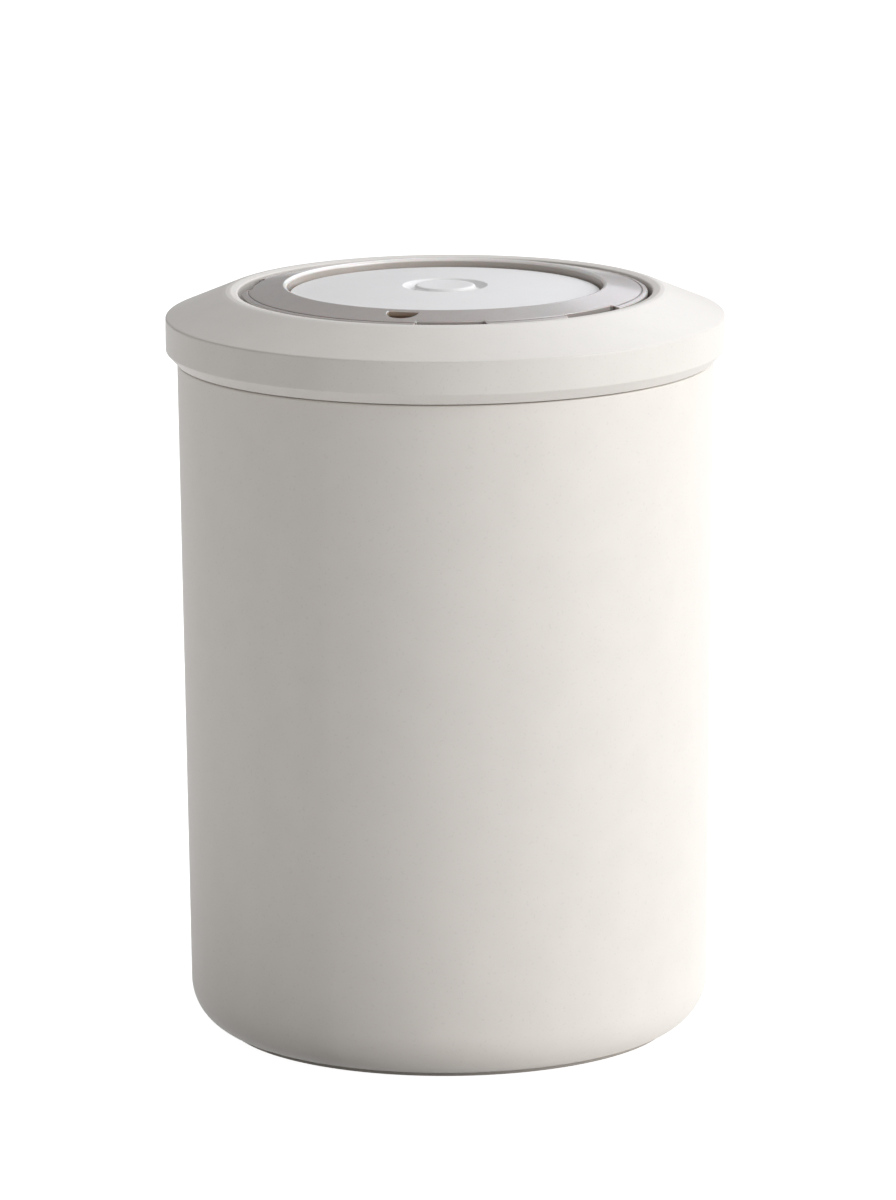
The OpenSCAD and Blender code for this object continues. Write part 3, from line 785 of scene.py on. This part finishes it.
def date_ring_mesh():
    """Date ring: a section carried round the axis, its outer radius drawn in at the notches.

    The window is a patch of rows that run from the window's edge, where they turn down by a small
    quarter circle, out to the grid's own vertices. The upper and lower patches meet in a wall.
    """
    ring = settings().ring
    notch_r, width, depth, groove, sheet = in_mm(ring, "notch_radius", "window_width",
                                                 "window_depth", "groove", "sheet")
    turn = math.degrees(ring.window_turn)
    degrees = ring_angles(turn)
    top = ring_top()
    full, lower_start = ring_section(groove)
    drawn = drawn_in(ring_section(0.0)[0], notch_r)
    share = notch_share(degrees)[None, :, None]
    section = full[:, None, :] * (1 - share) + drawn[:, None, :] * share
    a = np.radians(degrees)[None, :]
    points = np.stack([section[..., 0] * np.sin(a), -section[..., 0] * np.cos(a), section[..., 1]],
                      axis=-1)
    rows, columns = points.shape[:2]
    quads = grid_quads(rows, columns, wrap_rows=True).reshape(rows, columns, 4)
    inside = np.where(np.abs(degrees - turn) < WINDOW_REACH + 0.01)[0]
    first, last = inside[0], inside[-1]
    kept = np.ones((rows, columns), bool)
    kept[0:WINDOW_ROWS - 1, first:last] = False
    kept[lower_start:lower_start + WINDOW_ROWS - 1, first:last] = False
    quads = quads[kept]
    points = points.reshape(-1, 3)

    def border(start, step):
        """Vertices round the patch that was left out, whose rows are taken up or down."""
        row = (start + np.arange(WINDOW_ROWS)[::step]) * columns
        column = np.arange(first, last + 1)
        return np.concatenate([row[0] + column, row[1:] + last,
                               row[-1] + column[-2::-1], row[-2:0:-1] + first])

    upper, lower = border(0, 1), border(lower_start, -1)
    middle_r = WINDOW_FLAT_R + depth / 2
    m = math.radians(turn)
    along = np.array([math.sin(m), -math.cos(m)])
    across = np.array([math.cos(m), math.sin(m)])
    edge_angle, edge_radius = window_edge(width, depth)
    soft = WINDOW_SOFT
    steps = soft * (1 - np.cos(np.radians([0, 22, 45, 67, 90])))

    def patch(loop, height, sign):
        """Rows of the patch: round the window's soft edge, then evenly out to the border."""
        plan = points[loop][:, :2] - along * middle_r
        u, v = plan @ across, -(plan @ along)
        theta = np.arctan2(v, u)
        rho = np.interp(theta, edge_angle, edge_radius, period=TURN)
        far = np.hypot(u, v)
        levels = []
        for d in steps:
            drop = soft - math.sqrt(max(soft ** 2 - (soft - d) ** 2, 0))
            levels.append((rho + d, drop))
        for share_out in (0.3, 0.65):
            levels.append((rho + soft + (far - rho - soft) * share_out, 0.0))
        made = []
        for distance, drop in levels:
            plan = (middle_r * along + np.outer(distance * np.cos(theta), across)
                    - np.outer(distance * np.sin(theta), along))
            z = height(np.hypot(plan[:, 0], plan[:, 1])) - sign * drop
            made.append(np.column_stack([plan, z]))
        return made

    tables = []
    for loop, height, sign in ((upper, top, 1), (lower, lambda r: top(r) - sheet, -1)):
        levels = patch(loop, height, sign)
        start = len(points)
        points = np.vstack([points, *levels])
        ids = [start + k * len(loop) + np.arange(len(loop)) for k in range(len(levels))] + [loop]
        tables.append(ids)
        for inner, outer in zip(ids[:-1], ids[1:]):
            strip = np.stack([inner, np.roll(inner, -1), np.roll(outer, -1), outer], axis=1)
            quads = np.vstack([quads, strip[:, ::-1] if sign > 0 else strip])
    up, down = tables[0][0], tables[1][0]
    wall = np.stack([up, np.roll(up, -1), np.roll(down, -1), down], axis=1)
    quads = np.vstack([quads, wall])
    return mesh_from("date_ring_dressed", points, quads)


def spring_mesh():
    """Button spring: a round wire carried evenly up a helix, its two ends closed by fans.

    A point of the wire lies at radius coil + wire * cos(a) and at height z + wire * sin(a).
    """
    wire, coil, turns, sides, steps = 0.35, 3.4, 5, 12, 48
    a = np.arange(sides)[None, :] * TURN / sides
    t = np.linspace(0, turns * TURN, turns * steps + 1)[:, None]
    z = np.linspace(low("button_spring") + wire, high("button_spring") - wire, len(t))[:, None]
    r = coil + wire * np.cos(a)
    points = np.stack([r * np.cos(t), r * np.sin(t), z + wire * np.sin(a)], axis=-1)
    ends = points[[0, -1]].mean(axis=1)
    points = points.reshape(-1, 3)
    fans = end_fans(sides, len(points) - sides, len(points))
    return mesh_from("spring_dressed", np.vstack([points, ends]), grid_quads(len(t), sides), fans)


# Operators


class CANISTER_OT_stage(bpy.types.Operator):
    """Floor, soft lights and the camera"""

    bl_idname = "canister.stage"
    bl_label = "Stage"

    def execute(self, context):
        scene = context.scene
        scene.view_settings.view_transform = "Standard"
        add_camera(scene)
        add_floor(scene)
        add_lights(scene)
        return {"FINISHED"}


# Camera place in metres, focal length in pixels of the frame's long side, floor in millimetres
CAMERA_PLACE = (0.26 * MM, -1.788, 0.4675)
CAMERA_PITCH = math.radians(90 - 11.63)
CAMERA_ROLL = math.radians(-0.33)
FOCAL_PIXELS = 7924
FRAME_PIXELS = 1200
SENSOR = 36.0
FLOOR_RADIUS = 12000.0
FLOOR_SIDES = 96
FLOOR_COLOUR = (0.78, 0.77, 0.76)
FLOOR_GLOW = 0.93
SHADE_PLACE = (-45.0, 6.0)
SHADE_REACH = (60.0, 94.0)
AIM = (0.0, 0.0, 0.09)
SURROUND = (1.0, 0.99, 0.985, 1.0)
SURROUND_STRENGTH = 0.34

# Name, azimuth and elevation in degrees, distance and size in metres, power in watts, colour
SOFTBOXES = (
    ("key", 69, 26, 1.6, (0.8, 1.3), 17.2, (0.98, 0.99, 1.0)),
    ("backdrop", 145, 45, 2.2, (1.9, 1.3), 19, (0.91, 0.945, 1.0)),
    ("ring_sheen", 161, 19.5, 2.4, (1.35, 0.63), 3.3, (0.92, 0.92, 1.0)),
)


def add_camera(scene):
    """Camera at the photograph's place: its focal length is given in pixels of the long side."""
    data = bpy.data.cameras.new("camera")
    data.sensor_width = SENSOR
    data.lens = FOCAL_PIXELS / FRAME_PIXELS * SENSOR
    camera = bpy.data.objects.new("camera", data)
    scene.collection.objects.link(camera)
    camera.matrix_world = (Matrix.Translation(CAMERA_PLACE) @ Matrix.Rotation(CAMERA_PITCH, 4, "X")
                           @ Matrix.Rotation(CAMERA_ROLL, 4, "Z"))
    scene.camera = camera


def add_floor(scene):
    """Plain pale floor: a wide disc that shows almost white and throws back a part of the light.

    Its colour holds a painted shadow, so it throws back less close to the canister,
    most of all on the side away from the key light.
    """
    angles = np.arange(FLOOR_SIDES) * TURN / FLOOR_SIDES
    rim = spin(np.array([[FLOOR_RADIUS, 0.0]]), angles)[0]
    mesh = bpy.data.meshes.new("floor")
    mesh.from_pydata((rim * MM).tolist(), [], [list(range(FLOOR_SIDES))])
    floor = bpy.data.objects.new("floor", mesh)
    scene.collection.objects.link(floor)
    f = Finish("pale_floor", FLOOR_COLOUR, 0.9)
    parts = f.node("ShaderNodeSeparateXYZ", None, {"Vector": f.coords})
    x, y = parts.out("X") - SHADE_PLACE[0] * MM, parts.out("Y") - SHADE_PLACE[1] * MM
    away = f.ramp((x * x + y * y) ** 0.5, *SHADE_REACH)
    # Painted shadow: the floor's colour darker near the canister, offset away from the key light
    f.set("Base Color", f.mix(away, f.shaded(0.2), f.colour))
    glow = {"Color": (1.0, 1.0, 1.0, 1.0), "Strength": FLOOR_GLOW}
    shine = f.node("ShaderNodeEmission", None, glow)
    bright = f.node("ShaderNodeBsdfDiffuse", None, {"Color": (0.5, 0.5, 0.5, 1.0)})
    seen = f.node("ShaderNodeAddShader", None, {0: shine.out(0), 1: bright.out(0)})
    diffuse_ray = f.node("ShaderNodeLightPath").out("Is Diffuse Ray")
    thrown = Value(f, f.shader.outputs[0])
    both = f.node("ShaderNodeMixShader", None, {0: diffuse_ray, 1: seen.out(0), 2: thrown})
    f.links.new(both.out(0).socket, f.nodes["Material Output"].inputs["Surface"])
    mesh.materials.append(f.material)


def add_softbox(scene, name, azimuth, elevation, distance, size, power, colour):
    """Rectangular light that points at the canister's middle from an azimuth and elevation."""
    data = bpy.data.lights.new(name, "AREA")
    data.shape = "RECTANGLE"
    data.size, data.size_y = size
    data.energy = power
    data.color = colour
    light = bpy.data.objects.new(name, data)
    scene.collection.objects.link(light)
    light.matrix_world = (Matrix.Translation(AIM) @ Matrix.Rotation(math.radians(azimuth), 4, "Z")
                          @ Matrix.Rotation(math.radians(90 - elevation), 4, "X")
                          @ Matrix.Translation((0, 0, distance)))


def add_lights(scene):
    """Wide soft key from the right, two soft lights behind and an even pale surround."""
    world = bpy.data.worlds.new("surround")
    scene.world = world
    world.use_nodes = True
    background = world.node_tree.nodes["Background"]
    background.inputs["Color"].default_value = SURROUND
    background.inputs["Strength"].default_value = SURROUND_STRENGTH
    for softbox in SOFTBOXES:
        add_softbox(scene, *softbox)


class CANISTER_OT_body(bpy.types.Operator):
    """Outer shell, steel liner and foot pad"""

    bl_idname = "canister.body"
    bl_label = "Body"

    def execute(self, context):
        c = settings().colours
        white = grained_plastic("satin_white_shell", c.shell, 0.5, 0.35, 0.012)
        steel = brushed_steel("turned_liner_steel", c.steel, 0.3)
        rubber = soft_silicone("warm_pad_silicone", c.pad, 0.7)
        mesh = turned_mesh("shell_dressed", shell_outline(), SEGMENTS)
        place("shell_dressed", mesh, white, "canister", "shell_white", "outer_shell")
        mesh = turned_mesh("liner_dressed", liner_outline(), SEGMENTS)
        place("liner_dressed", mesh, steel, "canister", "liner_steel", "steel_liner")
        dress("foot_pad", rubber)
        return {"FINISHED"}


class CANISTER_OT_lid(bpy.types.Operator):
    """Lid cover, and the plug, gasket and screws under it"""

    bl_idname = "canister.lid"
    bl_label = "Lid"

    def execute(self, context):
        c = settings().colours
        white = grained_plastic("satin_white_lid", c.lid, 0.46, 0.3, 0.018)
        inner = grained_plastic("natural_plastic", c.inner, 0.42, 0.8, 0.006, 0.03)
        milky = soft_silicone("milky_gasket_silicone", c.gasket, 0.55, 0.3)
        mesh = turned_mesh("lid_cover_dressed", cover_outline(), SEGMENTS, closed=True)
        place("lid_cover_dressed", mesh, white, "lid", "shell_white", "lid_cover")
        mesh = turned_mesh("gasket_dressed", gasket_outline(), SEGMENTS, closed=True)
        place("gasket_dressed", mesh, milky, "lid", "silicone_clear", "lid_gasket")
        dress("lid_plug", inner)
        dress("lid_screws", brushed_steel("screw_steel", c.steel, 0.25, 0.3))
        return {"FINISHED"}


# Scale and its numbers, in millimetres; FONT_SHARE is the font's size over a digit's height
SCALE_EDGE = (0.3, 0.29, 0.28, 1.0)
SCALE_EDGE_R = 43.3
NUMBERS = 31
NUMBERS_R = 40.4
NUMBER_HEIGHT = 2.4
NUMBER_THICKNESS = 0.06
FONT_SHARE = 1.35


class CANISTER_OT_date_ring(bpy.types.Operator):
    """Date ring, and the numbered scale under its window"""

    bl_idname = "canister.date_ring"
    bl_label = "Date ring"

    def execute(self, context):
        c = settings().colours
        crest_r, groove_r = in_mm(settings().ring, "crest_radius", "groove_radius")
        smoke = smoked_satin("smoked_ring", c.ring, 0.33, high("date_ring"), crest_r, groove_r,
                             FINISH_FALL)
        place("date_ring_dressed", date_ring_mesh(), smoke, "date_ring", "ring_smoke", "date_ring")
        dress("scale_ring", printed_scale("brown_scale", c.scale, 0.58, SCALE_EDGE, SCALE_EDGE_R))
        print_numbers(grained_plastic("number_print", c.numbers, 0.55, 0.2, 0.004))
        return {"FINISHED"}


def print_numbers(material):
    """Plain numbers 1 to 31 round the scale, each a thin raised print, joined into one piece."""
    thick, top = NUMBER_THICKNESS, high("scale_ring")
    start = settings().ring.window_turn
    corners, faces = [], []
    offset = 0
    for i in range(NUMBERS):
        curve = bpy.data.curves.new("number", "FONT")
        curve.body = str(i + 1)
        curve.align_x, curve.align_y = "CENTER", "CENTER"
        curve.size = NUMBER_HEIGHT * FONT_SHARE
        curve.extrude, curve.resolution_u = thick / 2, 3
        text = bpy.data.objects.new("number", curve)
        bpy.context.scene.collection.objects.link(text)
        bpy.context.view_layer.update()
        mesh = bpy.data.meshes.new_from_object(text.evaluated_get(
            bpy.context.evaluated_depsgraph_get()))
        own = np.zeros(len(mesh.vertices) * 3, np.float32)
        mesh.vertices.foreach_get("co", own)
        own = own.reshape(-1, 3).astype(float)
        a = start + i * TURN / NUMBERS
        x, y = own[:, 0], own[:, 1] - NUMBERS_R
        turned = np.stack([x * math.cos(a) - y * math.sin(a), x * math.sin(a) + y * math.cos(a),
                           own[:, 2] + top + thick / 2 - 0.02], axis=1)
        corners.append(turned)
        faces += [[v + offset for v in p.vertices] for p in mesh.polygons]
        offset += len(own)
        bpy.data.objects.remove(text)
        bpy.data.curves.remove(curve)
        bpy.data.meshes.remove(mesh)
    mesh = bpy.data.meshes.new("scale_numbers")
    mesh.from_pydata((np.vstack(corners) * MM).tolist(), [], faces)
    place("scale_numbers", mesh, material, "lid", "scale_brown")


class CANISTER_OT_cap(bpy.types.Operator):
    """Centre cap and vent button"""

    bl_idname = "canister.cap"
    bl_label = "Cap and button"

    def execute(self, context):
        c = settings().colours
        white = grained_plastic("fine_white_cap", c.cap, 0.48, 0.28, 0.008, 0.03)
        mesh = turned_mesh("cap_dressed", cap_outline(), SEGMENTS, closed=True)
        place("cap_dressed", mesh, white, "lid", "cap_white", "centre_cap")
        mesh = turned_mesh("button_dressed", button_outline(), BUTTON_SEGMENTS)
        place("button_dressed", mesh, white, "button", "cap_white", "vent_button")
        return {"FINISHED"}


class CANISTER_OT_valve(bpy.types.Operator):
    """Finishes of the valve's pieces, the stem and the spring"""

    bl_idname = "canister.valve"
    bl_label = "Valve"

    def execute(self, context):
        c = settings().colours
        inner = grained_plastic("valve_plastic", c.inner, 0.4, 0.6, 0.005, 0.03)
        bright = brushed_steel("bright_steel", c.steel, 0.22, 0.25)
        for node in ("valve_housing", "disc_keeper", "filter_retainer"):
            dress(node, inner)
        for node in ("button_stem", "filter_mesh"):
            dress(node, bright)
        spring = place("spring_dressed", spring_mesh(), bright, "lid", "bright_steel",
                       "button_spring")
        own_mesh(spring)
        dress("poppet_seal", soft_silicone("milky_seal_silicone", c.seal, 0.55, 0.3))
        dress("housing_o_ring", soft_silicone("dark_seal_silicone", c.o_ring, 0.6))
        dress("degassing_disc", soft_silicone("amber_silicone", c.disc, 0.5, 0.2))
        return {"FINISHED"}


class CANISTER_PT_panel(bpy.types.Panel):
    """The canister's pieces in the sidebar"""

    bl_idname = "CANISTER_PT_panel"
    bl_label = "Coffee canister"
    bl_space_type = "VIEW_3D"
    bl_region_type = "UI"
    bl_category = "Canister"

    def draw(self, context):
        column = self.layout.column()
        for operator in OPERATORS:
            column.operator(operator.bl_idname)
        for group in ("body", "lid", "ring", "cap", "colours"):
            owner = getattr(context.scene.canister, group)
            for key in owner.__annotations__:
                column.prop(owner, key)


OPERATORS = (CANISTER_OT_stage, CANISTER_OT_body, CANISTER_OT_lid, CANISTER_OT_date_ring,
             CANISTER_OT_cap, CANISTER_OT_valve)
CLASSES = (CanisterBody, CanisterLid, CanisterRing, CanisterCap, CanisterColours,
           CanisterSettings) + OPERATORS + (CANISTER_PT_panel,)


def register():
    """Makes the settings, operators and panel known to Blender."""
    for cls in CLASSES:
        bpy.utils.register_class(cls)
    bpy.types.Scene.canister = bpy.props.PointerProperty(type=CanisterSettings)


def unregister():
    """Takes them out again."""
    del bpy.types.Scene.canister
    for cls in reversed(CLASSES):
        bpy.utils.unregister_class(cls)


def main():
    register()
    for operator in OPERATORS:
        group, name = operator.bl_idname.split(".")
        getattr(getattr(bpy.ops, group), name)()


if __name__ == "__main__":
    main()
